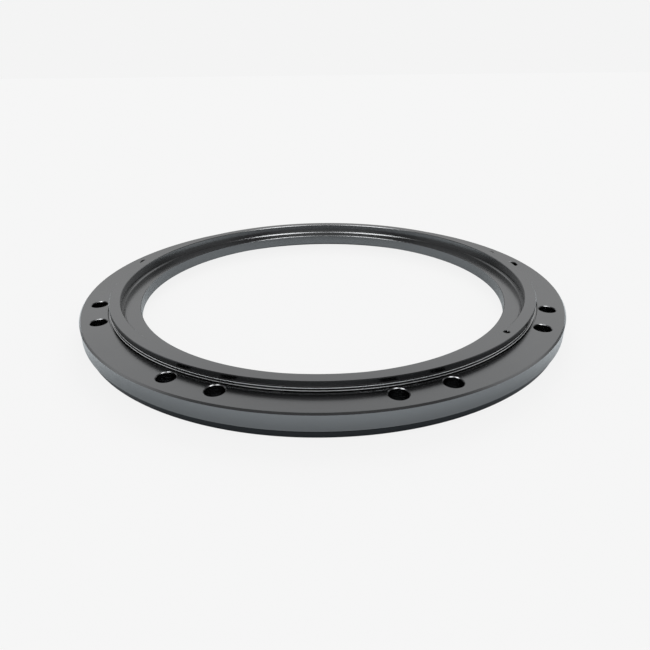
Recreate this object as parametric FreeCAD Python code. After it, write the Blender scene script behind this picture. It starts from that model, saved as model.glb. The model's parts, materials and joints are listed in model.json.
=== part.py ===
import FreeCAD, Part
import math
import os

# Slewing ring bearing: a flanged outer ring, a stepped inner ring, and one row of
# caged balls between them. Millimetres, +Z up. The origin is the centre of the
# outer ring's bottom face. Azimuths are degrees from -Y, turning towards +X.

# ---- Outer ring: a flange over a slightly smaller locating band ----
FLANGE_R = 175.0
FLANGE_CHAMFER = 1.0
BAND_R = 173.0
BAND_TOP = 5.0
BAND_RELIEF_R = 171.8  # undercut between the band and the flange
BAND_RELIEF_Z = 3.8
OUTER_TOP = 16.0
OUTER_WALL_R = 152.5  # inner wall, above and below the raceway
SEAL_RECESS_R = 156.5  # stepped recess round the upper seal
SEAL_RECESS_Z = 15.1
LOWER_GROOVE_R = 155.5  # groove that holds the lower seal
LOWER_GROOVE_BOTTOM = 3.0
LOWER_GROOVE_TOP = 6.8
EDGE_BREAK = 0.5  # small chamfer on turned edges

# ---- Bolt holes through the flange, drilled in close pairs ----
BOLT_CIRCLE_R = 163.0
BOLT_HOLE_R = 5.5  # clearance for M10
BOLT_MOUTH_R = 6.0
BOLT_PAIRS = 8
PAIR_SPREAD = 11.25  # angle between the two holes of a pair

# ---- Inner ring: bore, sunken ledge, and a raised rim over the outer ring ----
BORE_R = 135.0
BORE_CHAMFER = 0.3
INNER_BOTTOM = 6.0
SEAL_LAND_R = 148.4  # from here outwards the underside steps up for the lower seal's lip
SEAL_LAND_Z = 6.4
LEDGE_Z = 14.3
LEDGE_GROOVE_R = 145.4  # thin relief groove at the outside of the ledge
LEDGE_GROOVE_Z = 13.9
SHOULDER_R = 146.2  # narrow shoulder at the foot of the rim
SHOULDER_Z = 14.8
SHOULDER_CHAMFER = 0.6
RIM_INNER_R = 147.5
RIM_R = 155.2
RIM_TOP = 22.0
RIM_UNDERSIDE = 19.0
RIM_BREAK = 0.4
NECK_R = 152.0  # seat of the upper seal
NECK_BOTTOM = 15.4
INNER_WALL_R = 150.0  # outer wall, above and below the raceway

# ---- Tapped holes in the underside of the inner ring ----
TAPPED_CIRCLE_R = 141.0
TAPPED_HOLE_R = 2.5  # tapping drill for M6
TAPPED_COUNT = 16
TAPPED_DEPTH = 6.5

# ---- Seals: soft lips that stand just clear of the faces they would touch ----
UPPER_SEAL_BACK_R = 154.2
UPPER_SEAL_FLOOR = 15.45
UPPER_SEAL_FOOT_BREAK = 0.2
UPPER_SEAL_FOOT_WIDTH = 0.8
UPPER_LIP_TIPS = ((155.1, 17.725), (155.65, 16.425))  # (radius, z) of each lip's tip
LIP_TIP_HEIGHT = 0.5
LIP_ROOT_ABOVE = 0.6
LIP_ROOT_BELOW = 0.4
LIP_CLEARANCE = 0.25
LOWER_SEAL_TOP_R = 153.0  # inner edge of the lower seal's top face
LOWER_SEAL_BOTTOM_R = 152.2
LOWER_LIP_BACK_R = 151.2
LOWER_LIP_BACK_DROP = 0.15
LOWER_LIP_CONTACT_R = 149.4
LOWER_LIP_TIP_R = 148.8
LOWER_LIP_TIP_DROP = 0.2
LOWER_LIP_TIP_HEIGHT = 0.3
LOWER_LIP_HEIGHT = 1.1  # below the seal land, at the root of the tip
LOWER_LIP_ROOT = (151.6, 3.9)

# ---- Raceway, balls and cage ----
PITCH_R = 151.25
RACE_Z = 11.0
BALL_R = 3.0
GROOVE_R = 3.24  # raceway groove, 54 % of the ball diameter
CAGE_SEGMENTS = 8
BALLS_PER_SEGMENT = 12
CAGE_INNER_R = 150.35
CAGE_OUTER_R = 152.15
CAGE_HALF_HEIGHT = 3.8
CAGE_GAP = 0.3  # angle left open between neighbouring segments
POCKET_R = 3.15

# ---- Ball loading plug and its locking pin, at the back of the outer ring ----
PLUG_AZIMUTH = 180.0
PLUG_HOLE_R = 3.7
PLUG_R = 3.66
PIN_CIRCLE_R = 166.0
PIN_HOLE_R = 1.5
PIN_R = 1.47
PIN_HOLE_DEPTH = 12.5
PIN_RECESS = 0.3

# ---- Grease ports closed by hexagon-socket set screws ----
RIM_PORT_AZIMUTH = 50.7
RIM_PORT_CIRCLE_R = 149.8
RIM_PORT_R = 1.9
RIM_PORT_MOUTH_R = 2.3
RIM_PORT_DEPTH = 4.4
RIM_PASSAGE_R = 0.6
RIM_PASSAGE_START = 0.5  # above the floor of the port
RIM_PASSAGE_END_R = 148.7
RIM_PASSAGE_END_Z = 12.8
RIM_SCREW_RECESS = 1.6
RIM_SCREW_LENGTH = 2.6
RIM_SCREW_SOCKET = 2.0  # across flats
SIDE_PORT_AZIMUTHS = (135.0, 225.0)
SIDE_PORT_R = 2.5
SIDE_PORT_DEPTH = 7.0
SIDE_PASSAGE_R = 1.0
SIDE_SCREW_RECESS = 1.0
SIDE_SCREW_LENGTH = 5.0
SIDE_SCREW_SOCKET = 2.5
SCREW_FIT = 0.05  # radial play of a set screw in its hole
SOCKET_SHARE = 0.5  # depth of a socket as a share of its screw's length
PORT_BREAK = 0.4

CENTRE = FreeCAD.Vector(0, 0, 0)
UP = FreeCAD.Vector(0, 0, 1)
DOWN = FreeCAD.Vector(0, 0, -1)


def outwards(azimuth):
    """Unit vector that points away from the ring axis."""
    angle = math.radians(azimuth)
    return FreeCAD.Vector(math.sin(angle), -math.cos(angle), 0)


def at(radius, azimuth, z):
    """Point at a radius and azimuth round the ring, at height z."""
    return outwards(azimuth) * radius + UP * z


def closed_face(points):
    """Flat face inside a closed outline of straight edges."""
    return Part.Face(Part.makePolygon(points + points[:1]))


def turned(outline, start=0.0, sweep=360.0):
    """Turn an outline of (radius, z) points about the ring axis."""
    face = closed_face([at(radius, start, z) for radius, z in outline])
    return face.revolve(CENTRE, UP, sweep)


def spun(outline, start, along):
    """Turn an outline of (radius, distance) points about a line of its own."""
    points = [FreeCAD.Vector(radius, 0, distance) for radius, distance in outline]
    solid = closed_face(points).revolve(CENTRE, UP, 360.0)
    solid.Placement = FreeCAD.Placement(start, FreeCAD.Rotation(UP, along))
    return solid


def rod(radius, start, end):
    """Plain round bar between two points."""
    line = end - start
    return Part.makeCylinder(radius, line.Length, start, line)


def race_groove():
    """Ring-shaped cutter of the ball raceway, shared by both rings."""
    return Part.makeTorus(PITCH_R, GROOVE_R, UP * RACE_Z, UP)


def bolt_azimuths():
    """Azimuths of all the flange holes, pair by pair."""
    azimuths = []
    for pair in range(BOLT_PAIRS):
        middle = (pair + 0.5) * 360.0 / BOLT_PAIRS
        azimuths += [middle - PAIR_SPREAD / 2, middle + PAIR_SPREAD / 2]
    return azimuths


def bolt_drill(azimuth):
    """Through hole whose two mouths are chamfered."""
    chamfer = BOLT_MOUTH_R - BOLT_HOLE_R
    outline = [
        (0, 0),
        (BOLT_MOUTH_R, 0),
        (BOLT_HOLE_R, chamfer),
        (BOLT_HOLE_R, OUTER_TOP - chamfer),
        (BOLT_MOUTH_R, OUTER_TOP),
        (0, OUTER_TOP),
    ]
    return spun(outline, at(BOLT_CIRCLE_R, azimuth, 0), UP)


def side_port_drill(azimuth):
    """Stepped grease hole from the flange wall to the raceway."""
    passage_end = FLANGE_R - PITCH_R - BALL_R
    outline = [
        (0, -1),
        (SIDE_PORT_R + PORT_BREAK, -1),
        (SIDE_PORT_R + PORT_BREAK, 0),
        (SIDE_PORT_R, PORT_BREAK),
        (SIDE_PORT_R, SIDE_PORT_DEPTH),
        (SIDE_PASSAGE_R, SIDE_PORT_DEPTH),
        (SIDE_PASSAGE_R, passage_end),
        (0, passage_end),
    ]
    return spun(outline, at(FLANGE_R, azimuth, RACE_Z), outwards(azimuth) * -1)


def outer_blank():
    """Outer ring as it leaves the lathe, before any drilling."""
    outline = [
        (OUTER_WALL_R + EDGE_BREAK, 0),
        (BAND_R - EDGE_BREAK, 0),
        (BAND_R, EDGE_BREAK),
        (BAND_R, BAND_RELIEF_Z),
        (BAND_RELIEF_R, BAND_RELIEF_Z),
        (BAND_RELIEF_R, BAND_TOP),
        (FLANGE_R - EDGE_BREAK, BAND_TOP),
        (FLANGE_R, BAND_TOP + EDGE_BREAK),
        (FLANGE_R, OUTER_TOP - FLANGE_CHAMFER),
        (FLANGE_R - FLANGE_CHAMFER, OUTER_TOP),
        (SEAL_RECESS_R, OUTER_TOP),
        (SEAL_RECESS_R, SEAL_RECESS_Z),
        (OUTER_WALL_R, SEAL_RECESS_Z),
        (OUTER_WALL_R, LOWER_GROOVE_TOP),
        (LOWER_GROOVE_R, LOWER_GROOVE_TOP),
        (LOWER_GROOVE_R, LOWER_GROOVE_BOTTOM),
        (OUTER_WALL_R, LOWER_GROOVE_BOTTOM),
        (OUTER_WALL_R, EDGE_BREAK),
    ]
    return turned(outline).cut(race_groove())


def plug_bar(radius):
    """Radial bar on the line of the loading plug, longer than the ring wall."""
    start = at(OUTER_WALL_R - 1, PLUG_AZIMUTH, RACE_Z)
    end = at(FLANGE_R + 1, PLUG_AZIMUTH, RACE_Z)
    return rod(radius, start, end)


def pin_hole():
    """Blind hole of the locking pin, drilled from the bottom face."""
    low = at(PIN_CIRCLE_R, PLUG_AZIMUTH, 0)
    return rod(PIN_HOLE_R, low, low + UP * PIN_HOLE_DEPTH)


def outer_ring():
    drills = [bolt_drill(azimuth) for azimuth in bolt_azimuths()]
    drills += [side_port_drill(azimuth) for azimuth in SIDE_PORT_AZIMUTHS]
    drills += [plug_bar(PLUG_HOLE_R), pin_hole()]
    return outer_blank().cut(drills)


def loading_plug():
    """Plug that closes the ball filling hole and carries on the raceway."""
    return plug_bar(PLUG_R).common(outer_blank()).cut(pin_hole())


def loading_plug_pin():
    low = at(PIN_CIRCLE_R, PLUG_AZIMUTH, PIN_RECESS)
    high = at(PIN_CIRCLE_R, PLUG_AZIMUTH, PIN_HOLE_DEPTH)
    return rod(PIN_R, low, high)


def tapped_drill(number):
    """Blind tapped hole with a drill-point end, from the inner ring's underside."""
    point = TAPPED_HOLE_R * math.tan(math.radians(30))
    outline = [
        (0, 0),
        (TAPPED_HOLE_R + PORT_BREAK, 0),
        (TAPPED_HOLE_R, PORT_BREAK),
        (TAPPED_HOLE_R, TAPPED_DEPTH - point),
        (0, TAPPED_DEPTH),
    ]
    azimuth = number * 360.0 / TAPPED_COUNT
    return spun(outline, at(TAPPED_CIRCLE_R, azimuth, INNER_BOTTOM), UP)


def rim_port_drill():
    """Grease hole in the rim's top face."""
    outline = [
        (0, 0),
        (RIM_PORT_MOUTH_R, 0),
        (RIM_PORT_R, RIM_PORT_MOUTH_R - RIM_PORT_R),
        (RIM_PORT_R, RIM_PORT_DEPTH),
        (0, RIM_PORT_DEPTH),
    ]
    return spun(outline, at(RIM_PORT_CIRCLE_R, RIM_PORT_AZIMUTH, RIM_TOP), DOWN)


def rim_passage():
    """Slanted passage from the rim's grease hole to the raceway groove."""
    start_z = RIM_TOP - RIM_PORT_DEPTH + RIM_PASSAGE_START
    high = at(RIM_PORT_CIRCLE_R, RIM_PORT_AZIMUTH, start_z)
    low = at(RIM_PASSAGE_END_R, RIM_PORT_AZIMUTH, RIM_PASSAGE_END_Z)
    return rod(RIM_PASSAGE_R, high, low)


def inner_ring():
    outline = [
        (BORE_R + BORE_CHAMFER, INNER_BOTTOM),
        (SEAL_LAND_R, INNER_BOTTOM),
        (SEAL_LAND_R, SEAL_LAND_Z),
        (INNER_WALL_R - EDGE_BREAK, SEAL_LAND_Z),
        (INNER_WALL_R, SEAL_LAND_Z + EDGE_BREAK),
        (INNER_WALL_R, NECK_BOTTOM),
        (NECK_R, NECK_BOTTOM),
        (NECK_R, RIM_UNDERSIDE),
        (RIM_R, RIM_UNDERSIDE),
        (RIM_R, RIM_TOP - RIM_BREAK),
        (RIM_R - RIM_BREAK, RIM_TOP),
        (RIM_INNER_R + RIM_BREAK, RIM_TOP),
        (RIM_INNER_R, RIM_TOP - RIM_BREAK),
        (RIM_INNER_R, SHOULDER_Z),
        (SHOULDER_R + SHOULDER_CHAMFER, SHOULDER_Z),
        (SHOULDER_R, SHOULDER_Z - SHOULDER_CHAMFER),
        (SHOULDER_R, LEDGE_GROOVE_Z),
        (LEDGE_GROOVE_R, LEDGE_GROOVE_Z),
        (LEDGE_GROOVE_R, LEDGE_Z),
        (BORE_R + BORE_CHAMFER, LEDGE_Z),
        (BORE_R, LEDGE_Z - BORE_CHAMFER),
        (BORE_R, INNER_BOTTOM + BORE_CHAMFER),
    ]
    drills = [tapped_drill(number) for number in range(TAPPED_COUNT)]
    drills += [rim_port_drill(), rim_passage()]
    return turned(outline).cut(race_groove()).cut(drills)


def set_screw(radius, length, across_flats, head, inwards):
    """Headless screw whose hexagon socket faces away from inwards."""
    side = inwards.cross(UP) if abs(inwards.z) < 0.5 else outwards(RIM_PORT_AZIMUTH)
    across = side.cross(inwards)
    corner_r = across_flats / math.sqrt(3)
    corners = []
    for number in range(6):
        angle = math.radians(60 * number)
        corners.append(head + side * (corner_r * math.cos(angle)) + across * (corner_r * math.sin(angle)))
    socket = closed_face(corners).extrude(inwards * (length * SOCKET_SHARE))
    return rod(radius, head, head + inwards * length).cut(socket)


def rim_grease_screw():
    head = at(RIM_PORT_CIRCLE_R, RIM_PORT_AZIMUTH, RIM_TOP - RIM_SCREW_RECESS)
    return set_screw(RIM_PORT_R - SCREW_FIT, RIM_SCREW_LENGTH, RIM_SCREW_SOCKET, head, DOWN)


def side_grease_screws():
    screws = []
    for azimuth in SIDE_PORT_AZIMUTHS:
        head = at(FLANGE_R - SIDE_SCREW_RECESS, azimuth, RACE_Z)
        inwards = outwards(azimuth) * -1
        radius = SIDE_PORT_R - SCREW_FIT
        screws.append(set_screw(radius, SIDE_SCREW_LENGTH, SIDE_SCREW_SOCKET, head, inwards))
    return Part.makeCompound(screws)


def upper_seal():
    """Rubber ring on the inner ring's neck, with two lips over the recess."""
    back_r = UPPER_SEAL_BACK_R
    foot_r = back_r - UPPER_SEAL_FOOT_BREAK
    outline = [(NECK_R, UPPER_SEAL_FLOOR), (NECK_R, RIM_UNDERSIDE), (back_r, RIM_UNDERSIDE)]
    for tip_r, tip_z in UPPER_LIP_TIPS:
        outline += [
            (back_r, tip_z + LIP_ROOT_ABOVE),
            (tip_r, tip_z + LIP_TIP_HEIGHT / 2),
            (tip_r, tip_z - LIP_TIP_HEIGHT / 2),
            (back_r, tip_z - LIP_ROOT_BELOW),
        ]
    outline += [(foot_r, UPPER_SEAL_FLOOR), (foot_r - UPPER_SEAL_FOOT_WIDTH, UPPER_SEAL_FLOOR)]
    return turned(outline)


def lower_seal():
    """Rubber ring in the outer ring's groove, with a lip under the inner ring."""
    lip_z = SEAL_LAND_Z - LIP_CLEARANCE
    tip_z = lip_z - LOWER_LIP_TIP_DROP
    outline = [
        (LOWER_SEAL_BOTTOM_R, LOWER_GROOVE_BOTTOM),
        (LOWER_GROOVE_R, LOWER_GROOVE_BOTTOM),
        (LOWER_GROOVE_R, LOWER_GROOVE_TOP),
        (LOWER_SEAL_TOP_R, LOWER_GROOVE_TOP),
        (LOWER_LIP_BACK_R, SEAL_LAND_Z - LOWER_LIP_BACK_DROP),
        (LOWER_LIP_CONTACT_R, lip_z),
        (LOWER_LIP_TIP_R, tip_z),
        (LOWER_LIP_TIP_R, tip_z - LOWER_LIP_TIP_HEIGHT),
        (INNER_WALL_R, SEAL_LAND_Z - LOWER_LIP_HEIGHT),
        LOWER_LIP_ROOT,
    ]
    return turned(outline)


def ball_azimuths(segment):
    """Azimuths of the balls that one cage segment holds."""
    pitch = 360.0 / (CAGE_SEGMENTS * BALLS_PER_SEGMENT)
    first = segment * BALLS_PER_SEGMENT
    return [(first + number + 0.5) * pitch for number in range(BALLS_PER_SEGMENT)]


def cage_segment(segment):
    low = RACE_Z - CAGE_HALF_HEIGHT
    high = RACE_Z + CAGE_HALF_HEIGHT
    outline = [(CAGE_INNER_R, low), (CAGE_OUTER_R, low), (CAGE_OUTER_R, high), (CAGE_INNER_R, high)]
    step = 360.0 / CAGE_SEGMENTS
    blank = turned(outline, segment * step + CAGE_GAP / 2, step - CAGE_GAP)
    pockets = []
    for azimuth in ball_azimuths(segment):
        start = at(CAGE_INNER_R - 1, azimuth, RACE_Z)
        end = at(CAGE_OUTER_R + 1, azimuth, RACE_Z)
        pockets.append(rod(POCKET_R, start, end))
    return blank.cut(pockets)


def ball_set(segment):
    balls = [Part.makeSphere(BALL_R, at(PITCH_R, azimuth, RACE_Z)) for azimuth in ball_azimuths(segment)]
    return Part.makeCompound(balls)


def bearing():
    """Every separate piece of the bearing, by its node name."""
    pieces = {
        "outer_ring": outer_ring(),
        "inner_ring": inner_ring(),
        "upper_seal": upper_seal(),
        "lower_seal": lower_seal(),
        "loading_plug": loading_plug(),
        "loading_plug_pin": loading_plug_pin(),
        "rim_grease_screw": rim_grease_screw(),
        "side_grease_screws": side_grease_screws(),
    }
    for segment in range(CAGE_SEGMENTS):
        pieces[f"cage_segment_{segment + 1}"] = cage_segment(segment)
        pieces[f"ball_set_{segment + 1}"] = ball_set(segment)
    return pieces


os.makedirs("parts", exist_ok=True)
for node, shape in bearing().items():
    if not shape.isValid():
        raise ValueError(f"{node} is not a valid solid")
    shape.exportStep(f"parts/{node}.step")
    print(node, "solids", len(shape.Solids), "volume", round(shape.Volume, 1), "mm3")
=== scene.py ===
# %% [markdown]
# # Slewing ring bearing
# A slewing ring is a thin bearing of large diameter. A machine's turning half is bolted
# to one ring and its base to the other, and a row of balls runs between them.
# The design comes in finished: its pieces, sizes and joints are fixed. What is made here
# is the look, so the two rings and their seals are turned again as fine meshes, and
# every piece gets the finish that it has on the real object.

# %% Load the fixed frame
import json
import math

import bmesh
import bpy
from mathutils import Matrix, Vector


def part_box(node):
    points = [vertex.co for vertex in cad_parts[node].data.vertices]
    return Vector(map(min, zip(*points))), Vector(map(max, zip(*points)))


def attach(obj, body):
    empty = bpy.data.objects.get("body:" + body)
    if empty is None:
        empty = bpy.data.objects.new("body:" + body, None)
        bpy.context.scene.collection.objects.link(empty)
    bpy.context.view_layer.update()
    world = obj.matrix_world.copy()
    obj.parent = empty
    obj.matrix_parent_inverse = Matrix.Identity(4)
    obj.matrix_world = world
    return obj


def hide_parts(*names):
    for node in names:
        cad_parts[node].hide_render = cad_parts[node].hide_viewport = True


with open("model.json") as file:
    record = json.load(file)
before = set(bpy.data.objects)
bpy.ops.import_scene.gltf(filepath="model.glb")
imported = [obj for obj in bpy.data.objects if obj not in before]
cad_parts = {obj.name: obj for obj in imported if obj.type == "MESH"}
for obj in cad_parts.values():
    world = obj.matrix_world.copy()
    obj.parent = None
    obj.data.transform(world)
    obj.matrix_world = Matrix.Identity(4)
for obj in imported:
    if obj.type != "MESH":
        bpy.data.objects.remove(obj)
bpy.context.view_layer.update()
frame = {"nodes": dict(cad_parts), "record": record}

# %% [markdown]
# ## Small helpers
# Blender works in metres and a machinist in millimetres, so one number turns one into the
# other. Node trees are built with a single function: it adds a node, sets its options, and
# fills its inputs, either with a value or with a link from another node's output.

# %% Units, colours and one function for all nodes
MM = 0.001


def linear(hex_colour):
    """Turn an sRGB hex colour into the linear RGBA that shaders work in."""
    channels = [int(hex_colour[i : i + 2], 16) / 255 for i in (1, 3, 5)]
    curve = [c / 12.92 if c <= 0.04045 else ((c + 0.055) / 1.055) ** 2.4 for c in channels]
    return (*curve, 1.0)


def add(tree, kind, inputs=None, **options):
    """Add a node, set its options, and fill its inputs with values or links."""
    node = tree.nodes.new(kind)
    for name, value in options.items():
        setattr(node, name, value)
    for key, value in (inputs or {}).items():
        if isinstance(value, bpy.types.NodeSocket):
            tree.links.new(value, node.inputs[key])
        else:
            node.inputs[key].default_value = value
    return node


# %% [markdown]
# ## Sizes
# The main sizes are read back from the frame: the bolt mounts and the boxes of the pieces.
# The few that no box gives, such as the ledge and the grooves, are named here, once.

# %% Sizes of the two rings, in millimetres
mounts = {mount["name"]: mount["dims"] for mount in frame["record"]["mounts"]}
outer_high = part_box("outer_ring")[1]
inner_low, inner_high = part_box("inner_ring")
flange_r = round(outer_high.y / MM, 3)
outer_top = round(outer_high.z / MM, 3)
inner_bottom = round(inner_low.z / MM, 3)
rim_top = round(inner_high.z / MM, 3)
band_r = mounts["locating_band"]["r_mm"]
bore_r = mounts["centre_bore"]["r_mm"]
flange_bolts = mounts["flange_bolts_1"]
bolt_hole_r = flange_bolts["hole_r_mm"]
bolt_circle_r = math.hypot(flange_bolts["spacing_x_mm"], flange_bolts["spacing_y_mm"]) / 2
tapped_circle_r = mounts["inner_ring_bolts"]["pcd_mm"] / 2
tapped_hole_r = mounts["inner_ring_bolts"]["hole_r_mm"]

# Outer ring: the locating band, the flange and the walls between the rings.
BAND_TOP = 5.0
BAND_RELIEF_R = 171.8
BAND_RELIEF_Z = 3.8
FLANGE_CHAMFER = 1.0
EDGE_BREAK = 0.5
OUTER_WALL_R = 152.5
SEAL_RECESS_R = 156.5
SEAL_RECESS_Z = 15.1
LOWER_GROOVE = (155.5, 3.0, 6.8)  # radius, lower height, upper height

# The ball race that both rings share.
PITCH_R = 151.25
RACE_Z = 11.0
GROOVE_R = 3.24

# Inner ring: the wall, the ledge round the bore, the shoulder, the rim and its neck.
INNER_WALL_R = 150.0
SEAL_LAND_R = 148.4
SEAL_LAND_Z = 6.4
LEDGE_Z = 14.3
SHOULDER_R = 146.2
SHOULDER_Z = 14.8
SHOULDER_CHAMFER = 0.6
RIM_INNER_R = 147.5
RIM_R = 155.2
RIM_UNDERSIDE = 19.0
NECK_R = 152.0
NECK_BOTTOM = 15.4

# Upper seal: where the tips of its two lips are, and the size of a lip.
UPPER_LIP_R = 155.1
UPPER_LIP_Z = 17.72
LOWER_LIP_OUT = 0.55  # how much farther out the lower tip is
LOWER_LIP_Z = 16.42
LIP_ROOT_HEIGHT = 0.8
LIP_NOSE_R = 0.26
print("flange radius", flange_r, "rim top", rim_top)
print("bolt circle radius", round(bolt_circle_r, 3))

# %% [markdown]
# ## A lathe made of Geometry Nodes
# Both rings, the seals and even the drills are solids of revolution. The real parts are
# turned on a lathe, and so are these: an outline of (radius, height) points is carried
# round the axis. The tree starts from a flat grid, looks up an outline point for each of
# its rows, and turns every column by its share of a full circle. A Screw modifier would do
# the same, but here the rule can be read, and the segment count is an input.

# %% The lathe tree
WELD = 0.002  # points closer than this become one


def build_lathe():
    tree = bpy.data.node_groups.new("turning_lathe", "GeometryNodeTree")
    face = tree.interface
    face.new_socket("Outline", in_out="INPUT", socket_type="NodeSocketGeometry")
    face.new_socket("Segments", in_out="INPUT", socket_type="NodeSocketInt")
    face.new_socket("Finish", in_out="INPUT", socket_type="NodeSocketMaterial")
    face.new_socket("Turned part", in_out="OUTPUT", socket_type="NodeSocketGeometry")
    given = add(tree, "NodeGroupInput").outputs
    size = add(tree, "GeometryNodeAttributeDomainSize", {"Geometry": given["Outline"]})
    count = size.outputs["Point Count"]
    rows = add(tree, "ShaderNodeMath", {0: count, 1: 1.0}, operation="ADD").outputs[0]
    segments = given["Segments"]
    columns = add(tree, "ShaderNodeMath", {0: segments, 1: 1.0}, operation="ADD").outputs[0]
    grid = add(tree, "GeometryNodeMeshGrid", {"Vertices X": columns, "Vertices Y": rows})
    index = add(tree, "GeometryNodeInputIndex").outputs[0]
    share = add(tree, "ShaderNodeMath", {0: index, 1: rows}, operation="DIVIDE").outputs[0]
    column = add(tree, "ShaderNodeMath", {0: share}, operation="FLOOR").outputs[0]
    row = add(tree, "ShaderNodeMath", {0: index, 1: rows}, operation="MODULO").outputs[0]
    place = add(tree, "ShaderNodeMath", {0: row, 1: count}, operation="MODULO").outputs[0]
    position = add(tree, "GeometryNodeInputPosition").outputs[0]
    looked_up = add(
        tree,
        "GeometryNodeSampleIndex",
        {"Geometry": given["Outline"], "Value": position, "Index": place},
        data_type="FLOAT_VECTOR",
    )
    step = add(tree, "ShaderNodeMath", {0: math.tau, 1: segments}, operation="DIVIDE").outputs[0]
    angle = add(tree, "ShaderNodeMath", {0: column, 1: step}, operation="MULTIPLY").outputs[0]
    around = add(
        tree,
        "ShaderNodeVectorRotate",
        {"Vector": looked_up.outputs[0], "Angle": angle},
        rotation_type="Z_AXIS",
    )
    wrapped = add(
        tree,
        "GeometryNodeSetPosition",
        {"Geometry": grid.outputs[0], "Position": around.outputs[0]},
    )
    closed = add(
        tree,
        "GeometryNodeMergeByDistance",
        {"Geometry": wrapped.outputs[0], "Distance": WELD * MM},
    )
    faces_beside = add(tree, "GeometryNodeInputMeshEdgeNeighbors").outputs[0]
    on_axis = add(tree, "ShaderNodeMath", {0: faces_beside, 1: 1.0}, operation="LESS_THAN")
    clean = add(
        tree,
        "GeometryNodeDeleteGeometry",
        {"Geometry": closed.outputs[0], "Selection": on_axis.outputs[0]},
        domain="EDGE",
        mode="EDGE_FACE",
    )
    real = add(tree, "GeometryNodeRealizeInstances", {"Geometry": clean.outputs[0]})
    dressed = add(
        tree,
        "GeometryNodeSetMaterial",
        {"Geometry": real.outputs[0], "Material": given["Finish"]},
    )
    add(tree, "NodeGroupOutput", {0: dressed.outputs[0]})
    return tree


lathe = build_lathe()


def modify(piece, tree, values):
    """Add a node tree to a piece as a modifier, with its named inputs filled."""
    modifier = piece.modifiers.new(tree.name, "NODES")
    modifier.node_group = tree
    for item in tree.interface.items_tree:
        if item.in_out == "INPUT" and item.name in values:
            modifier[item.identifier] = values[item.name]


SHARP_DEGREES = 25.0  # a bend of more than this is an edge
LEVEL = 0.9999  # a face that looks up or down as straight as this is level


def settle(piece):
    """Turn what the modifiers make into a plain mesh.

    It is shaded smooth apart from its edges and its level faces, which stay truly flat.
    """
    bpy.context.view_layer.update()
    evaluated = piece.evaluated_get(bpy.context.evaluated_depsgraph_get())
    piece_mesh = bpy.data.meshes.new_from_object(evaluated)
    piece.modifiers.clear()
    piece.data = piece_mesh
    piece_mesh.name = piece.name
    piece_mesh.shade_smooth()
    piece_mesh.set_sharp_from_angle(angle=math.radians(SHARP_DEGREES))
    curved = [abs(face.normal.z) < LEVEL for face in piece_mesh.polygons]
    piece_mesh.polygons.foreach_set("use_smooth", curved)
    return piece


RING_SEGMENTS = 720
DRILL_SEGMENTS = 48


def turn(name, outline, segments, finish):
    """Turn a closed outline of (radius, height) points, in millimetres, into a solid."""
    points = [(radius * MM, 0.0, height * MM) for radius, height in outline]
    edges = [(i, (i + 1) % len(points)) for i in range(len(points))]
    outline_mesh = bpy.data.meshes.new(name)
    outline_mesh.from_pydata(points, edges, [])
    piece = bpy.data.objects.new(name, outline_mesh)
    bpy.context.scene.collection.objects.link(piece)
    modify(piece, lathe, {"Segments": segments, "Finish": finish})
    return settle(piece)


# %% [markdown]
# ## Outlines
# No turned edge is perfectly sharp: the tool leaves a tiny flat, and a hand runs a stone
# over it. `eased` cuts every square corner of an outline by such a flat, which is what
# catches the light as a thin line. `race_arc` is the ball groove, a round arc that is
# worked out from its centre and radius.

# %% Helpers for outlines
SQUARE_CORNER = 60  # degrees; a corner that turns more than this is cut


def eased(outline, size=0.15):
    """Replace each square corner by a small flat."""
    result = []
    for i, corner in enumerate(outline):
        here = Vector(corner)
        before = (Vector(outline[i - 1]) - here).normalized()
        after = (Vector(outline[(i + 1) % len(outline)]) - here).normalized()
        if math.degrees(math.pi - before.angle(after)) > SQUARE_CORNER:
            result += [tuple(here + before * size), tuple(here + after * size)]
        else:
            result.append(tuple(here))
    return result


def race_arc(wall_r, steps=14):
    """Points of the ball groove in a wall, from its top edge down to its bottom edge."""
    side = 1 if wall_r > PITCH_R else -1
    half = math.acos(abs(wall_r - PITCH_R) / GROOVE_R)
    angles = [half - 2 * half * i / steps for i in range(steps + 1)]
    return [
        (PITCH_R + side * GROOVE_R * math.cos(a), RACE_Z + GROOVE_R * math.sin(a))
        for a in angles
    ]


# %% [markdown]
# ## Finishes
# The rings are carbon steel, turned on a lathe and then blackened in a hot oxide bath.
# The oxide is thin, so it doesn't hide the metal: it stays a metal in the shader, dark and
# satin, and mirrors its surroundings as a soft grey. The lathe leaves fine grooves at its
# feed, about 0.15 mm apart. They run round the axis on every turned face, so the pattern
# depends only on the radius and the height. That pitch is finer than a picture can show,
# so it is drawn at 0.6 mm. The band under the flange carries painted shade, a darker
# colour for the shade under the flange's overhang, and the rim's outer wall has some too.

# %% Black oxide on turned steel
GROOVE_PITCH = 0.6
BATH_PATCH = 35  # width of the uneven patches that the bath leaves
PAINTED_SHADE_COLOUR = "#343638"
SHADE_TOP = 5.2  # below this height
SHADE_R = 171.0  # and outside this radius the steel gets the full painted shade
RIM_SHADE = 0.55  # share of the painted shade on the rim's outer wall
RIM_WALL_LOW = RIM_UNDERSIDE - 0.1
RIM_WALL_R = RIM_R - 0.3


def new_material(name):
    finish = bpy.data.materials.new(name)
    finish.use_nodes = True
    tree = finish.node_tree
    shader = tree.nodes["Principled BSDF"]
    return finish, tree, shader


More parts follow.
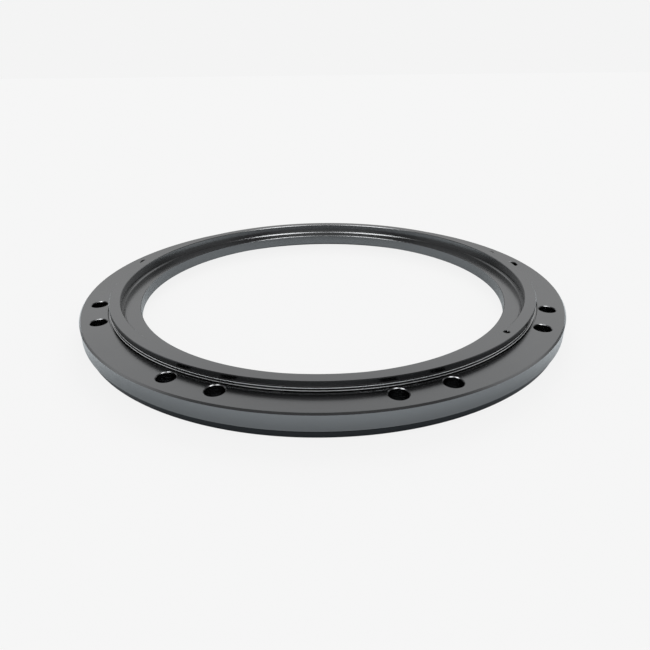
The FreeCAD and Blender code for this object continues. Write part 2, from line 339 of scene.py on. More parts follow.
def black_oxide_turned_steel(name, colour, roughness, groove_depth):
    finish, tree, shader = new_material(name)
    shader.inputs["Metallic"].default_value = 1.0
    place = add(tree, "ShaderNodeTexCoord").outputs["Object"]
    axes = add(tree, "ShaderNodeSeparateXYZ", {0: place}).outputs
    flat = add(tree, "ShaderNodeCombineXYZ", {"X": axes["X"], "Y": axes["Y"]}).outputs[0]
    radius = add(tree, "ShaderNodeVectorMath", {0: flat}, operation="LENGTH").outputs["Value"]
    lay = add(tree, "ShaderNodeCombineXYZ", {"X": radius, "Y": axes["Z"]}).outputs[0]
    grooves = add(
        tree,
        "ShaderNodeTexNoise",
        {"Vector": lay, "Scale": 1 / (GROOVE_PITCH * MM), "Detail": 2.0, "Roughness": 0.6},
    ).outputs[0]
    bath = add(
        tree,
        "ShaderNodeTexNoise",
        {"Vector": place, "Scale": 1 / (BATH_PATCH * MM), "Detail": 3.0, "Roughness": 0.55},
    ).outputs[0]
    tone = add(
        tree,
        "ShaderNodeMix",
        {"Factor": bath, "A": linear(colour[0]), "B": linear(colour[1])},
        data_type="RGBA",
    )
    height = axes["Z"]
    # Painted shade: the base colour is darkened on the band under the flange and on the rim's
    # outer wall, where shade falls.
    low = add(tree, "ShaderNodeMath", {0: height, 1: SHADE_TOP * MM}, operation="LESS_THAN")
    out = add(tree, "ShaderNodeMath", {0: radius, 1: SHADE_R * MM}, operation="GREATER_THAN")
    high = add(tree, "ShaderNodeMath", {0: height, 1: RIM_WALL_LOW * MM}, operation="GREATER_THAN")
    edge = add(tree, "ShaderNodeMath", {0: radius, 1: RIM_WALL_R * MM}, operation="GREATER_THAN")
    band = add(
        tree, "ShaderNodeMath", {0: low.outputs[0], 1: out.outputs[0]}, operation="MULTIPLY"
    ).outputs[0]
    rim_wall = add(
        tree, "ShaderNodeMath", {0: high.outputs[0], 1: edge.outputs[0]}, operation="MULTIPLY"
    ).outputs[0]
    rim_shade = add(tree, "ShaderNodeMath", {0: rim_wall, 1: RIM_SHADE}, operation="MULTIPLY")
    painted_shade = add(
        tree, "ShaderNodeMath", {0: band, 1: rim_shade.outputs[0]}, operation="MAXIMUM"
    ).outputs[0]
    shaded_tone = add(
        tree,
        "ShaderNodeMix",
        {"Factor": painted_shade, "A": tone.outputs["Result"], "B": linear(PAINTED_SHADE_COLOUR)},
        data_type="RGBA",
    )
    tree.links.new(shaded_tone.outputs["Result"], shader.inputs["Base Color"])
    gloss = add(
        tree,
        "ShaderNodeMapRange",
        {"Value": grooves, "To Min": roughness[0], "To Max": roughness[1]},
    ).outputs[0]
    tree.links.new(gloss, shader.inputs["Roughness"])
    bump = add(
        tree,
        "ShaderNodeBump",
        {"Height": grooves, "Strength": 1.0, "Distance": groove_depth * MM},
    ).outputs[0]
    tree.links.new(bump, shader.inputs["Normal"])
    return finish


ring_steel = black_oxide_turned_steel(
    "black_oxide_turned_steel",
    colour=("#6f7071", "#747576"),
    roughness=(0.21, 0.23),
    groove_depth=0.0001,
)
screw_steel = black_oxide_turned_steel(
    "black_oxide_screw_steel",
    colour=("#3c3d3e", "#474849"),
    roughness=(0.35, 0.45),
    groove_depth=0.002,
)

# %% [markdown]
# The balls are through-hardened chrome steel, lapped until they mirror. They show only
# if the bearing is opened, but the finish is true: a neutral bright metal with hardly any
# roughness and no pattern that an eye could find.

# %% Lapped bearing steel
LAPPING_HAZE = 1.5


def lapped_ball_steel():
    finish, tree, shader = new_material("lapped_bearing_steel")
    shader.inputs["Metallic"].default_value = 1.0
    place = add(tree, "ShaderNodeTexCoord").outputs["Object"]
    haze = add(
        tree,
        "ShaderNodeTexNoise",
        {"Vector": place, "Scale": 1 / (LAPPING_HAZE * MM)},
    ).outputs[0]
    gloss = add(
        tree,
        "ShaderNodeMapRange",
        {"Value": haze, "To Min": 0.05, "To Max": 0.10},
    ).outputs[0]
    tree.links.new(gloss, shader.inputs["Roughness"])
    shader.inputs["Base Color"].default_value = linear("#d6d8da")
    return finish


ball_steel = lapped_ball_steel()

# %% [markdown]
# The cage is moulded polyamide in its natural ivory. Moulded nylon is slightly uneven in
# tone and has the fine dull grain of the mould, here a noise of half a millimetre.

# %% Natural moulded polyamide
NYLON_CLOUD = 12
MOULD_GRAIN = 0.5
GRAIN_DEPTH = 0.01


def moulded_polyamide():
    finish, tree, shader = new_material("natural_moulded_polyamide")
    place = add(tree, "ShaderNodeTexCoord").outputs["Object"]
    cloud = add(
        tree,
        "ShaderNodeTexNoise",
        {"Vector": place, "Scale": 1 / (NYLON_CLOUD * MM)},
    ).outputs[0]
    tone = add(
        tree,
        "ShaderNodeMix",
        {"Factor": cloud, "A": linear("#dcd0ae"), "B": linear("#e6dcc0")},
        data_type="RGBA",
    )
    tree.links.new(tone.outputs["Result"], shader.inputs["Base Color"])
    grain = add(
        tree,
        "ShaderNodeTexNoise",
        {"Vector": place, "Scale": 1 / (MOULD_GRAIN * MM)},
    ).outputs[0]
    bump = add(
        tree,
        "ShaderNodeBump",
        {"Height": grain, "Strength": 0.5, "Distance": GRAIN_DEPTH * MM},
    ).outputs[0]
    tree.links.new(bump, shader.inputs["Normal"])
    shader.inputs["Roughness"].default_value = 0.5
    return finish


cage_plastic = moulded_polyamide()

# %% [markdown]
# The seals are black nitrile rubber. It is a soft plastic to the eye: almost black, with a
# broad sheen, and a faint bloom of dust and grease that lightens it in patches. The coat
# is the film of grease on it. The tips of the two upper lips carry a painted highlight:
# their colour turns bright and metallic, and draws two thin light lines under the rim. Both
# tips lie on one slanted line in the section, so the distance past that line marks them.

# %% Black nitrile rubber
BLOOM_PATCH = 18
LIP_HIGHLIGHT_START = 0.12  # how far short of the line through the tips the painted highlight starts
LIP_HIGHLIGHT_FULL = 0.02  # and where it is complete


def nitrile_rubber():
    finish, tree, shader = new_material("black_nitrile_rubber")
    place = add(tree, "ShaderNodeTexCoord").outputs["Object"]
    bloom = add(
        tree,
        "ShaderNodeTexNoise",
        {"Vector": place, "Scale": 1 / (BLOOM_PATCH * MM), "Detail": 4.0},
    ).outputs[0]
    tone = add(
        tree,
        "ShaderNodeMix",
        {"Factor": bloom, "A": linear("#151516"), "B": linear("#262627")},
        data_type="RGBA",
    )
    axes = add(tree, "ShaderNodeSeparateXYZ", {0: place}).outputs
    flat = add(tree, "ShaderNodeCombineXYZ", {"X": axes["X"], "Y": axes["Y"]}).outputs[0]
    radius = add(tree, "ShaderNodeVectorMath", {0: flat}, operation="LENGTH").outputs["Value"]
    # Painted highlight: past the line through the lip tips the colour turns bright and metallic,
    # drawing two thin light lines.
    slope = LOWER_LIP_OUT / (UPPER_LIP_Z - LOWER_LIP_Z)
    leant = add(tree, "ShaderNodeMath", {0: axes["Z"], 1: slope}, operation="MULTIPLY")
    reach = add(
        tree, "ShaderNodeMath", {0: radius, 1: leant.outputs[0]}, operation="ADD"
    ).outputs[0]
    tips = UPPER_LIP_R + UPPER_LIP_Z * slope
    edge = add(
        tree,
        "ShaderNodeMapRange",
        {
            "Value": reach,
            "From Min": (tips - LIP_HIGHLIGHT_START) * MM,
            "From Max": (tips - LIP_HIGHLIGHT_FULL) * MM,
        },
    ).outputs[0]
    lip_highlight = add(
        tree,
        "ShaderNodeMix",
        {"Factor": edge, "A": tone.outputs["Result"], "B": linear("#eceef0")},
        data_type="RGBA",
    )
    tree.links.new(lip_highlight.outputs["Result"], shader.inputs["Base Color"])
    tree.links.new(edge, shader.inputs["Metallic"])
    gloss = add(
        tree,
        "ShaderNodeMapRange",
        {"Value": bloom, "To Min": 0.22, "To Max": 0.32},
    ).outputs[0]
    tree.links.new(gloss, shader.inputs["Roughness"])
    shader.inputs["Specular IOR Level"].default_value = 0.9
    shader.inputs["Coat Weight"].default_value = 1.0
    shader.inputs["Coat Roughness"].default_value = 0.12
    shader.inputs["Coat IOR"].default_value = 1.8
    return finish


seal_rubber = nitrile_rubber()

# %% [markdown]
# ## Drilling by rule
# The flange has sixteen holes in eight close pairs. A hole circle is a rule, so a second
# tree places the drills: each drill's number gives its group and its place in the group,
# these give an angle, and the angle gives a point on the circle. The drills are then cut
# out of the ring in one Boolean. With one drill to a group, the same tree drills the evenly
# spaced tapped holes under the inner ring.

# %% The drilling tree
def build_drilling():
    tree = bpy.data.node_groups.new("hole_circle_drilling", "GeometryNodeTree")
    face = tree.interface
    face.new_socket("Ring", in_out="INPUT", socket_type="NodeSocketGeometry")
    face.new_socket("Drill", in_out="INPUT", socket_type="NodeSocketObject")
    face.new_socket("Circle radius", in_out="INPUT", socket_type="NodeSocketFloat")
    face.new_socket("Groups", in_out="INPUT", socket_type="NodeSocketInt")
    face.new_socket("Holes per group", in_out="INPUT", socket_type="NodeSocketInt")
    face.new_socket("Angle in group", in_out="INPUT", socket_type="NodeSocketFloat")
    face.new_socket("Start share", in_out="INPUT", socket_type="NodeSocketFloat")
    face.new_socket("Single drills", in_out="INPUT", socket_type="NodeSocketObject")
    face.new_socket("Finish", in_out="INPUT", socket_type="NodeSocketMaterial")
    face.new_socket("Drilled ring", in_out="OUTPUT", socket_type="NodeSocketGeometry")
    given = add(tree, "NodeGroupInput").outputs
    groups = given["Groups"]
    each = given["Holes per group"]
    total = add(tree, "ShaderNodeMath", {0: groups, 1: each}, operation="MULTIPLY").outputs[0]
    index = add(tree, "GeometryNodeInputIndex").outputs[0]
    split = add(tree, "ShaderNodeMath", {0: index, 1: each}, operation="DIVIDE").outputs[0]
    group = add(tree, "ShaderNodeMath", {0: split}, operation="FLOOR").outputs[0]
    started = add(
        tree, "ShaderNodeMath", {0: group, 1: given["Start share"]}, operation="ADD"
    ).outputs[0]
    step = add(tree, "ShaderNodeMath", {0: math.tau, 1: groups}, operation="DIVIDE").outputs[0]
    middle = add(tree, "ShaderNodeMath", {0: started, 1: step}, operation="MULTIPLY").outputs[0]
    within = add(tree, "ShaderNodeMath", {0: index, 1: each}, operation="MODULO").outputs[0]
    last = add(tree, "ShaderNodeMath", {0: each, 1: 1.0}, operation="SUBTRACT").outputs[0]
    half = add(tree, "ShaderNodeMath", {0: last, 1: 0.5}, operation="MULTIPLY").outputs[0]
    centred = add(tree, "ShaderNodeMath", {0: within, 1: half}, operation="SUBTRACT").outputs[0]
    aside = add(
        tree, "ShaderNodeMath", {0: centred, 1: given["Angle in group"]}, operation="MULTIPLY"
    ).outputs[0]
    angle = add(tree, "ShaderNodeMath", {0: middle, 1: aside}, operation="ADD").outputs[0]
    down = add(
        tree, "ShaderNodeMath", {0: given["Circle radius"], 1: -1.0}, operation="MULTIPLY"
    ).outputs[0]
    start = add(tree, "ShaderNodeCombineXYZ", {"Y": down}).outputs[0]
    spot = add(
        tree,
        "ShaderNodeVectorRotate",
        {"Vector": start, "Angle": angle},
        rotation_type="Z_AXIS",
    )
    points = add(tree, "GeometryNodePoints", {"Count": total, "Position": spot.outputs[0]})
    drill = add(tree, "GeometryNodeObjectInfo", {"Object": given["Drill"]})
    placed = add(
        tree,
        "GeometryNodeInstanceOnPoints",
        {"Points": points.outputs[0], "Instance": drill.outputs["Geometry"]},
    )
    singles = add(tree, "GeometryNodeObjectInfo", {"Object": given["Single drills"]})
    all_drills = add(tree, "GeometryNodeJoinGeometry", {0: placed.outputs[0]})
    tree.links.new(singles.outputs["Geometry"], all_drills.inputs[0])
    drills = add(tree, "GeometryNodeRealizeInstances", {"Geometry": all_drills.outputs[0]})
    cut = add(
        tree,
        "GeometryNodeMeshBoolean",
        {"Mesh 1": given["Ring"], "Mesh 2": drills.outputs[0], "Self Intersection": True},
        operation="DIFFERENCE",
        solver="EXACT",
    )
    real = add(tree, "GeometryNodeRealizeInstances", {"Geometry": cut.outputs[0]})
    dressed = add(
        tree,
        "GeometryNodeSetMaterial",
        {"Geometry": real.outputs[0], "Material": given["Finish"]},
    )
    add(tree, "NodeGroupOutput", {0: dressed.outputs[0]})
    return tree


drilling = build_drilling()
OVERRUN = 1  # how far a drill stands out of the surface that it cuts


def hole_mouth(hole_r, edge_break):
    """First part of a drill's outline, down to the foot of the bevel at the hole's mouth."""
    wide = hole_r + edge_break
    return [(0, -OVERRUN), (wide, -OVERRUN), (wide, 0), (hole_r, edge_break)]


def drill_bit(name, outline, start=(0, 0, 0), along=(0, 0, 1)):
    """Drill turned from its own outline, with its foot at start and pointing along."""
    bit = turn(name, outline, DRILL_SEGMENTS, ring_steel)
    aim = Vector(along).to_track_quat("Z", "Y").to_matrix().to_4x4()
    bit.data.transform(Matrix.Translation(Vector(start) * MM) @ aim)
    return bit


def gather(name, bits):
    """Join drills into one object, where they stand."""
    together = bmesh.new()
    for bit in bits:
        together.from_mesh(bit.data)
    joined_mesh = bpy.data.meshes.new(name)
    together.to_mesh(joined_mesh)
    together.free()
    joined = bpy.data.objects.new(name, joined_mesh)
    bpy.context.scene.collection.objects.link(joined)
    for bit in bits:
        bpy.data.objects.remove(bit)
    return joined


def drill(ring, hole_circle, circle_drill, single_drills):
    """Cut a hole circle and the single holes out of a ring in one go."""
    drills = {"Drill": circle_drill, "Single drills": single_drills}
    modify(ring, drilling, {**hole_circle, **drills})
    settle(ring)
    bpy.data.objects.remove(circle_drill)
    bpy.data.objects.remove(single_drills)


def outwards(azimuth):
    """Unit vector away from the ring axis, in degrees from -Y towards +X."""
    turned = math.radians(azimuth)
    return Vector((math.sin(turned), -math.cos(turned), 0))


# %% [markdown]
# ## The outer ring
# It is one forging: a flange with a bevelled top edge over a slightly smaller band that
# centres it in its seat. A recess round its inner top edge makes room for the seal's lips,
# and shows as a black line. The outline runs once round the section, anticlockwise.

# %% Turn and drill the outer ring
BOLT_PAIRS = 8
PAIR_DEGREES = 11.25
groove_r, groove_low, groove_high = LOWER_GROOVE
outer_outline = eased(
    [
        (OUTER_WALL_R + EDGE_BREAK, 0),
        (band_r - EDGE_BREAK, 0),
        (band_r, EDGE_BREAK),
        (band_r, BAND_RELIEF_Z),
        (BAND_RELIEF_R, BAND_RELIEF_Z),
        (BAND_RELIEF_R, BAND_TOP),
        (flange_r - EDGE_BREAK, BAND_TOP),
        (flange_r, BAND_TOP + EDGE_BREAK),
        (flange_r, outer_top - FLANGE_CHAMFER),
        (flange_r - FLANGE_CHAMFER, outer_top),
        (SEAL_RECESS_R, outer_top),
        (SEAL_RECESS_R, SEAL_RECESS_Z),
        (OUTER_WALL_R, SEAL_RECESS_Z),
        *race_arc(OUTER_WALL_R),
        (OUTER_WALL_R, groove_high),
        (groove_r, groove_high),
        (groove_r, groove_low),
        (OUTER_WALL_R, groove_low),
        (OUTER_WALL_R, EDGE_BREAK),
    ]
)
outer_ring = turn("outer_ring_turned", outer_outline, RING_SEGMENTS, ring_steel)

MOUTH_DEPTH = 0.35  # less than its width, so that the bevel is a little flat
mouth_r = bolt_hole_r + EDGE_BREAK
bolt_drill = drill_bit(
    "bolt_drill",
    [
        (0, -OVERRUN),
        (mouth_r, -OVERRUN),
        (mouth_r, 0),
        (bolt_hole_r, MOUTH_DEPTH),
        (bolt_hole_r, outer_top - MOUTH_DEPTH),
        (mouth_r, outer_top),
        (mouth_r, outer_top + OVERRUN),
        (0, outer_top + OVERRUN),
    ],
)

# %% [markdown]
# At the back of the flange wall are the filling hole of the balls, closed by its plug, and
# two grease ports. Each is a drill of its own. All of them are gathered into one object
# and cut together with the hole circle, because a second cut on a mesh that has been cut
# before can leave cracks.

# %% Plug hole and grease ports of the outer ring
PLUG_AZIMUTH = 180
PLUG_HOLE_R = 3.7
PLUG_HOLE_DEPTH = 23.5
PIN_CIRCLE_R = 166.0
PIN_HOLE_R = 1.5
PIN_HOLE_DEPTH = 12.5
PORT_AZIMUTHS = (135, 225)
PORT_R = 2.5
PORT_BREAK = 0.4
PORT_DEPTH = 7.0
PASSAGE_R = 1.0
passage_end = flange_r - PITCH_R - 3.0
single_drills = [
    drill_bit(
        "plug_drill",
        [
            (0, -OVERRUN),
            (PLUG_HOLE_R, -OVERRUN),
            (PLUG_HOLE_R, PLUG_HOLE_DEPTH),
            (0, PLUG_HOLE_DEPTH),
        ],
        outwards(PLUG_AZIMUTH) * flange_r + Vector((0, 0, RACE_Z)),
        -outwards(PLUG_AZIMUTH),
    ),
    drill_bit(
        "pin_drill",
        [
            (0, -OVERRUN),
            (PIN_HOLE_R, -OVERRUN),
            (PIN_HOLE_R, PIN_HOLE_DEPTH),
            (0, PIN_HOLE_DEPTH),
        ],
        outwards(PLUG_AZIMUTH) * PIN_CIRCLE_R,
    ),
]
for azimuth in PORT_AZIMUTHS:
    port_outline = [
        *hole_mouth(PORT_R, PORT_BREAK),
        (PORT_R, PORT_DEPTH),
        (PASSAGE_R, PORT_DEPTH),
        (PASSAGE_R, passage_end),
        (0, passage_end),
    ]
    mouth = outwards(azimuth) * flange_r + Vector((0, 0, RACE_Z))
    port_drill = drill_bit(f"port_drill_{azimuth}", port_outline, mouth, -outwards(azimuth))
    single_drills.append(port_drill)
drill(
    outer_ring,
    {
        "Circle radius": bolt_circle_r * MM,
        "Groups": BOLT_PAIRS,
        "Holes per group": 2,
        "Angle in group": math.radians(PAIR_DEGREES),
        "Start share": 0.5,
        "Finish": ring_steel,
    },
    bolt_drill,
    gather("outer_single_drills", single_drills),
)
print("outer ring faces", len(outer_ring.data.polygons))
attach(outer_ring, "outer")
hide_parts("outer_ring")

# %% [markdown]
# ## The inner ring
# Its section is a Z. The bore has a sunken ledge round it, then a narrow shoulder with a
# thin relief groove at its foot, and then the rim, which stands proud of the flange and
# reaches over the seal. A small grease port is drilled into the rim's top face.

# %% Turn and drill the inner ring
BORE_CHAMFER = 0.3
RIM_BREAK = 0.4
RELIEF_R = 145.4
RELIEF_Z = 13.9
INNER_EASING = 0.1
inner_outline = eased(
    [
        (bore_r + BORE_CHAMFER, inner_bottom),
        (SEAL_LAND_R, inner_bottom),
        (SEAL_LAND_R, SEAL_LAND_Z),
        (INNER_WALL_R - EDGE_BREAK, SEAL_LAND_Z),
        (INNER_WALL_R, SEAL_LAND_Z + EDGE_BREAK),
        *reversed(race_arc(INNER_WALL_R)),
        (INNER_WALL_R, NECK_BOTTOM),
        (NECK_R, NECK_BOTTOM),
        (NECK_R, RIM_UNDERSIDE),
        (RIM_R, RIM_UNDERSIDE),
        (RIM_R, rim_top - RIM_BREAK),
        (RIM_R - RIM_BREAK, rim_top),
        (RIM_INNER_R + RIM_BREAK, rim_top),
        (RIM_INNER_R, rim_top - RIM_BREAK),
        (RIM_INNER_R, SHOULDER_Z),
        (SHOULDER_R + SHOULDER_CHAMFER, SHOULDER_Z),
        (SHOULDER_R, SHOULDER_Z - SHOULDER_CHAMFER),
        (SHOULDER_R, RELIEF_Z),
        (RELIEF_R, RELIEF_Z),
        (RELIEF_R, LEDGE_Z),
        (bore_r + BORE_CHAMFER, LEDGE_Z),
        (bore_r, LEDGE_Z - BORE_CHAMFER),
        (bore_r, inner_bottom + BORE_CHAMFER),
    ],
    INNER_EASING,
)
inner_ring = turn("inner_ring_turned", inner_outline, RING_SEGMENTS, ring_steel)
TAPPED_HOLES = 16
TAPPED_DEPTH = 6.5
TAPPED_POINT = 1.4  # height of the cone that the drill's tip leaves
tapped_drill = drill_bit(
    "tapped_drill",
    [
        (0, inner_bottom - OVERRUN),
        (tapped_hole_r + PORT_BREAK, inner_bottom - OVERRUN),
        (tapped_hole_r + PORT_BREAK, inner_bottom),
        (tapped_hole_r, inner_bottom + PORT_BREAK),
        (tapped_hole_r, inner_bottom + TAPPED_DEPTH - TAPPED_POINT),
        (0, inner_bottom + TAPPED_DEPTH),
    ],
)

RIM_PORT_AZIMUTH = 50.7
RIM_PORT_CIRCLE_R = 149.8
RIM_PORT_R = 1.9
RIM_PORT_DEPTH = 4.4
rim_port_drill = drill_bit(
    "rim_port_drill",
    [
        *hole_mouth(RIM_PORT_R, PORT_BREAK),
        (RIM_PORT_R, RIM_PORT_DEPTH),
        (0, RIM_PORT_DEPTH),
    ],
    outwards(RIM_PORT_AZIMUTH) * RIM_PORT_CIRCLE_R + Vector((0, 0, rim_top)),
    (0, 0, -1),
)
drill(
    inner_ring,
    {
        "Circle radius": tapped_circle_r * MM,
        "Groups": TAPPED_HOLES,
        "Holes per group": 1,
        "Angle in group": 0.0,
        "Start share": 0.0,
        "Finish": ring_steel,
    },
    tapped_drill,
    gather("inner_single_drills", [rim_port_drill]),
)
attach(inner_ring, "inner")
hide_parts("inner_ring")
print("inner ring faces", len(inner_ring.data.polygons))

# %% [markdown]
# ## The seals
# Grease has to stay in and grit has to stay out. The upper seal sits on the inner ring's
# neck under the rim and has two round-nosed lips. The lower one sits in a groove of the
# outer ring and reaches under the inner ring, where a real lip would lean on it. A lip is
# a soft wedge, so its nose is a small arc rather than a point.

# %% Turn the seals
SEAL_BACK_R = 154.2
SEAL_CLEARANCE = 0.35
seal_floor = SEAL_RECESS_Z + SEAL_CLEARANCE


def lip(tip_r, tip_z, steps=6):
    """Outline of a lip from its upper root, round its nose, to its lower root."""
    nose = []
    for i in range(steps + 1):
        angle = math.pi / 2 - math.pi * i / steps
        out = tip_r - LIP_NOSE_R + LIP_NOSE_R * math.cos(angle)
        nose.append((out, tip_z + LIP_NOSE_R * math.sin(angle)))
    half = LIP_ROOT_HEIGHT / 2
    return [(SEAL_BACK_R, tip_z + half), *nose, (SEAL_BACK_R, tip_z - half)]


upper_outline = [
    (NECK_R, seal_floor),
    (SEAL_BACK_R - 1.0, seal_floor),
    (SEAL_BACK_R - 0.2, seal_floor),
    *reversed(lip(UPPER_LIP_R + LOWER_LIP_OUT, LOWER_LIP_Z)),
    *reversed(lip(UPPER_LIP_R, UPPER_LIP_Z)),
    (SEAL_BACK_R, RIM_UNDERSIDE),
    (NECK_R, RIM_UNDERSIDE),
]
upper_seal = turn("upper_seal_lips", upper_outline, RING_SEGMENTS, seal_rubber)
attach(upper_seal, "inner")
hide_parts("upper_seal")

# From the foot of the groove round its back wall, along the top of the lip to its nose
# close under the seal land, and back along the lip's underside.
lower_outline = [
    (152.2, groove_low),
    (groove_r, groove_low),
    (groove_r, groove_high),
    (153.0, groove_high),
    (151.2, SEAL_LAND_Z - 0.15),
    (149.4, SEAL_LAND_Z - 0.25),
    (148.95, SEAL_LAND_Z - 0.33),
    (148.8, SEAL_LAND_Z - 0.5),
    (148.85, SEAL_LAND_Z - 0.7),
    (150.0, 5.3),
    (151.6, 3.9),
]
lower_seal = turn("lower_seal_lip", lower_outline, RING_SEGMENTS, seal_rubber)
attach(lower_seal, "outer")
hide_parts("lower_seal")

# %% [markdown]
# ## Pieces that keep their shape
# Balls, cage, plug, pin and screws are right as they are. They only need their finish,
# which goes into each object's first material slot.

# %% Dress the pieces that keep their shape
def dress(node, finish):
    piece = frame["nodes"][node]
    if not piece.material_slots:
        piece.data.materials.append(finish)
    for material_slot in piece.material_slots:
        material_slot.material = finish


for node in frame["nodes"]:
    if node.startswith("ball_set"):
        dress(node, ball_steel)
    elif node.startswith("cage_segment"):
        dress(node, cage_plastic)
    elif node.endswith(("screw", "screws", "pin")):
        dress(node, screw_steel)
    elif node == "loading_plug":
        dress(node, ring_steel)

# %% [markdown]
# ## Floor and light
# A dark metal shows nothing but what it mirrors, so the surroundings are the lighting.
# The top faces mirror a pale back wall, and the chamfers look at the dark space above it.
# A light patch in front, a band all round and two flanks reach under the rim and light the
# seal's lips. The patch straight overhead is for a view from the top. The upright walls
# mirror the table, which a soft sun lights from behind, and the bore mirrors its middle,
# which is painted darker as painted shadow, with a dark disc of painted shadow that deepens
# the step of the ledge. What the eye sees is a glowing pale sheet instead: it hides the
# table and keeps only a faint shadow under the ring.
# Beyond its edge the same pale grey goes on, so there is no horizon.
# Two softboxes, left and right, and a bar between them give the mouths of the holes their
# bright crescents. The mouths are a little flatter than 45 degrees, so they look higher up
# than the chamfers do, and only they mirror these lamps.

# %% Table and floor
FLOOR_SIZE = 40.0  # metres
FLOOR_DROP = 0.1
FLOOR_GLOW = 0.86
TABLE_DROP = 0.2
TABLE_GLOW = 0.03
SHADOW_DISC_R = 78
SHADOW_DISC_FADE = 18


def sheet(name, drop, finish):
    """Large square plane at a small depth under the bearing."""
    far = FLOOR_SIZE / 2
    z = -drop * MM
    corners = [(-far, -far, z), (far, -far, z), (far, far, z), (-far, far, z)]
    plane_mesh = bpy.data.meshes.new(name)
    plane_mesh.from_pydata(corners, [], [(0, 1, 2, 3)])
    plane_mesh.materials.append(finish)
    plane = bpy.data.objects.new(name, plane_mesh)
    bpy.context.scene.collection.objects.link(plane)
    return plane


def matt_sheet(name, colour, glow):
    """Matt finish that also glows by itself, like a sheet lit from below."""
    finish, _, shader = new_material(name)
    shader.inputs["Base Color"].default_value = linear(colour)
    shader.inputs["Roughness"].default_value = 0.9
    shader.inputs["Specular IOR Level"].default_value = 0.0
    shader.inputs["Emission Color"].default_value = linear("#ffffff")
    shader.inputs["Emission Strength"].default_value = glow
    return finish


floor_finish = matt_sheet("glowing_pale_sheet", "#3c3c3c", FLOOR_GLOW)
floor = sheet("studio_floor", FLOOR_DROP, floor_finish)
floor.visible_glossy = False
floor.visible_diffuse = False
floor.visible_shadow = False


def table_with_painted_shadow(table_colour, shaded_inner_colour, shadow_disc_colour):
    """Pale table, painted darker inside the ring as painted shadow, with a dark disc of painted
    shadow whose edge fades out.
    """
    finish = matt_sheet("cool_white_table", table_colour, TABLE_GLOW)
    tree = finish.node_tree
    place = add(tree, "ShaderNodeTexCoord").outputs["Object"]
    radius = add(tree, "ShaderNodeVectorMath", {0: place}, operation="LENGTH").outputs["Value"]
    # Painted shadow: the table is darker inside the ring and darkest in a disc round the middle,
    # where the ring shades it.
    edge = add(
        tree,
        "ShaderNodeMapRange",
        {"Value": radius, "From Min": SHADOW_DISC_R * MM, "From Max": (SHADOW_DISC_R + SHADOW_DISC_FADE) * MM},
    ).outputs[0]
    tone = add(
        tree,
        "ShaderNodeMix",
        {"Factor": edge, "A": linear(shadow_disc_colour), "B": linear(shaded_inner_colour)},
        data_type="RGBA",
    )
    beyond = add(
        tree, "ShaderNodeMath", {0: radius, 1: PITCH_R * MM}, operation="GREATER_THAN"
    ).outputs[0]
    whole = add(
        tree,
        "ShaderNodeMix",
        {"Factor": beyond, "A": tone.outputs["Result"], "B": linear(table_colour)},
        data_type="RGBA",
    )
    tree.links.new(whole.outputs["Result"], tree.nodes["Principled BSDF"].inputs["Base Color"])
    return finish


table_finish = table_with_painted_shadow("#e9f0f4", "#cbd1d4", "#58595c")
table = sheet("studio_table", TABLE_DROP, table_finish)
table.visible_camera = False

# %% Surroundings and lights
scene = bpy.context.scene
scene.view_settings.view_transform = "Standard"
world = bpy.data.worlds.new("studio_surroundings")
world.use_nodes = True
scene.world = world
sky = world.node_tree
heading = add(sky, "ShaderNodeTexCoord").outputs["Generated"]
heading_axes = add(sky, "ShaderNodeSeparateXYZ", {0: heading}).outputs
towards_back = heading_axes["Y"]
height = heading_axes["Z"]
sideways = add(sky, "ShaderNodeMath", {0: heading_axes["X"]}, operation="ABSOLUTE").outputs[0]


def ramp(value, start, end, low=0.0, high=1.0):
    """Brightness that goes from low to high while the value goes from start to end."""
    ends = {"From Min": start, "From Max": end, "To Min": low, "To Max": high}
    return add(sky, "ShaderNodeMapRange", {"Value": value, **ends}).outputs[0]


def combine(first, second, operation="ADD"):
    """Sum or product of two brightnesses."""
    return add(sky, "ShaderNodeMath", {0: first, 1: second}, operation=operation).outputs[0]


# The ends of a ramp are parts of the unit vector that points from the bearing.
BASE_BRIGHTNESS = 0.16
BACKDROP = 0.905  # what the eye sees beyond the floor's edge
back_wall = ramp(towards_back, 0.60, 0.76)
back_tone = ramp(height, 0.22, 0.50, 0.26, 0.40)
back = combine(back_wall, back_tone, "MULTIPLY")
front = ramp(towards_back, -0.72, -0.82, 0.0, 0.60)
above_low = ramp(height, 0.26, 0.34)
below_high = ramp(height, 0.55, 0.65, 0.40, 0.0)
upper_band = combine(above_low, below_high, "MULTIPLY")
flanks = ramp(sideways, 0.80, 0.92, 0.0, 0.40)
overhead = ramp(height, 0.95, 0.99, 0.0, 0.40)
sides = combine(combine(upper_band, flanks), overhead)
room = combine(combine(back, front), sides)
brightness = combine(room, BASE_BRIGHTNESS)
seen_directly = add(sky, "ShaderNodeLightPath").outputs["Is Camera Ray"]
backdrop = add(
    sky,
    "ShaderNodeMix",
    {"Factor": seen_directly, "A": brightness, "B": BACKDROP},
    data_type="FLOAT",
)
sky.links.new(backdrop.outputs["Result"], sky.nodes["Background"].inputs["Color"])
sky.nodes["Background"].inputs["Strength"].default_value = 1.0


def direction(azimuth, elevation):
    """Unit vector towards a point of the sky, both angles in degrees."""
    rise = math.radians(elevation)
    return outwards(azimuth) * math.cos(rise) + Vector((0, 0, math.sin(rise)))


def soft_sun(name, energy, spread, azimuth, elevation):
    """Broad light from far away that no surface mirrors."""
    lamp = bpy.data.lights.new(name, "SUN")
    lamp.energy = energy
    lamp.angle = math.radians(spread)
    sun = bpy.data.objects.new(name, lamp)
    scene.collection.objects.link(sun)
    sun.rotation_euler = direction(azimuth, elevation).to_track_quat("Z", "Y").to_euler()
    sun.visible_glossy = False


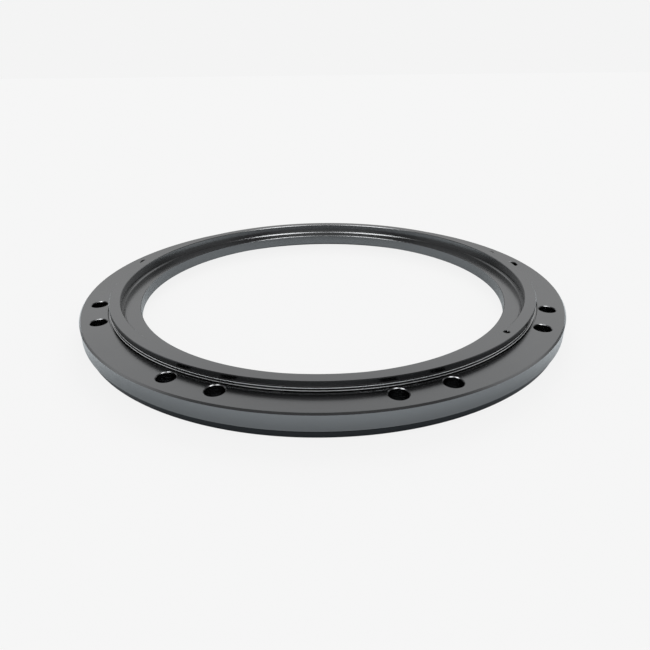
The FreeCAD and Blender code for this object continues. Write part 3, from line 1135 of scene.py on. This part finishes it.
soft_sun("soft_back_sun", energy=2.0, spread=35, azimuth=178, elevation=36)
soft_sun("soft_ceiling", energy=1.8, spread=150, azimuth=0, elevation=90)


LAMP_DISTANCE = 2.2


def softbox(name, azimuth, elevation, width, height_m, watts):
    """Rectangular studio lamp aimed at the bearing, its sizes in metres."""
    lamp = bpy.data.lights.new(name, "AREA")
    lamp.shape = "RECTANGLE"
    lamp.size = width
    lamp.size_y = height_m
    lamp.energy = watts
    box = bpy.data.objects.new(name, lamp)
    scene.collection.objects.link(box)
    place = direction(azimuth, elevation) * LAMP_DISTANCE
    box.location = place
    box.rotation_euler = place.to_track_quat("Z", "Y").to_euler()
    box.visible_diffuse = False


softbox("softbox_left", azimuth=-62, elevation=70, width=0.75, height_m=0.60, watts=8)
softbox("softbox_right", azimuth=58, elevation=71, width=0.75, height_m=0.60, watts=8)
softbox("softbox_bar", azimuth=0, elevation=85, width=1.70, height_m=0.35, watts=6)

# %% [markdown]
# ## Camera
# The camera looks down on the ring at a low angle from close by, so the near side of the
# flange looks clearly larger than the far side. It is set by its distance and direction
# from the middle of the flange face, and then turned a little off that line, because the
# ring sits above the middle of the picture.

# %% Camera
CAMERA_DISTANCE = 0.4133
CAMERA_AZIMUTH = 3.39
CAMERA_ELEVATION = 21.05
CAMERA_ROLL = -0.756
CAMERA_TILT = 4.596
CAMERA_PAN = -0.269
CAMERA_LENS = 29.38
camera_data = bpy.data.cameras.new("camera")
camera_data.lens = CAMERA_LENS
camera = bpy.data.objects.new("camera", camera_data)
scene.collection.objects.link(camera)
to_camera = direction(CAMERA_AZIMUTH, CAMERA_ELEVATION)
middle = Vector((0, 0, outer_high.z))
camera.matrix_world = (
    Matrix.Translation(middle + to_camera * CAMERA_DISTANCE)
    @ (-to_camera).to_track_quat("-Z", "Y").to_matrix().to_4x4()
    @ Matrix.Rotation(math.radians(CAMERA_ROLL), 4, "Z")
    @ Matrix.Rotation(-math.radians(CAMERA_TILT), 4, "X")
    @ Matrix.Rotation(math.radians(CAMERA_PAN), 4, "Y")
)
scene.camera = camera
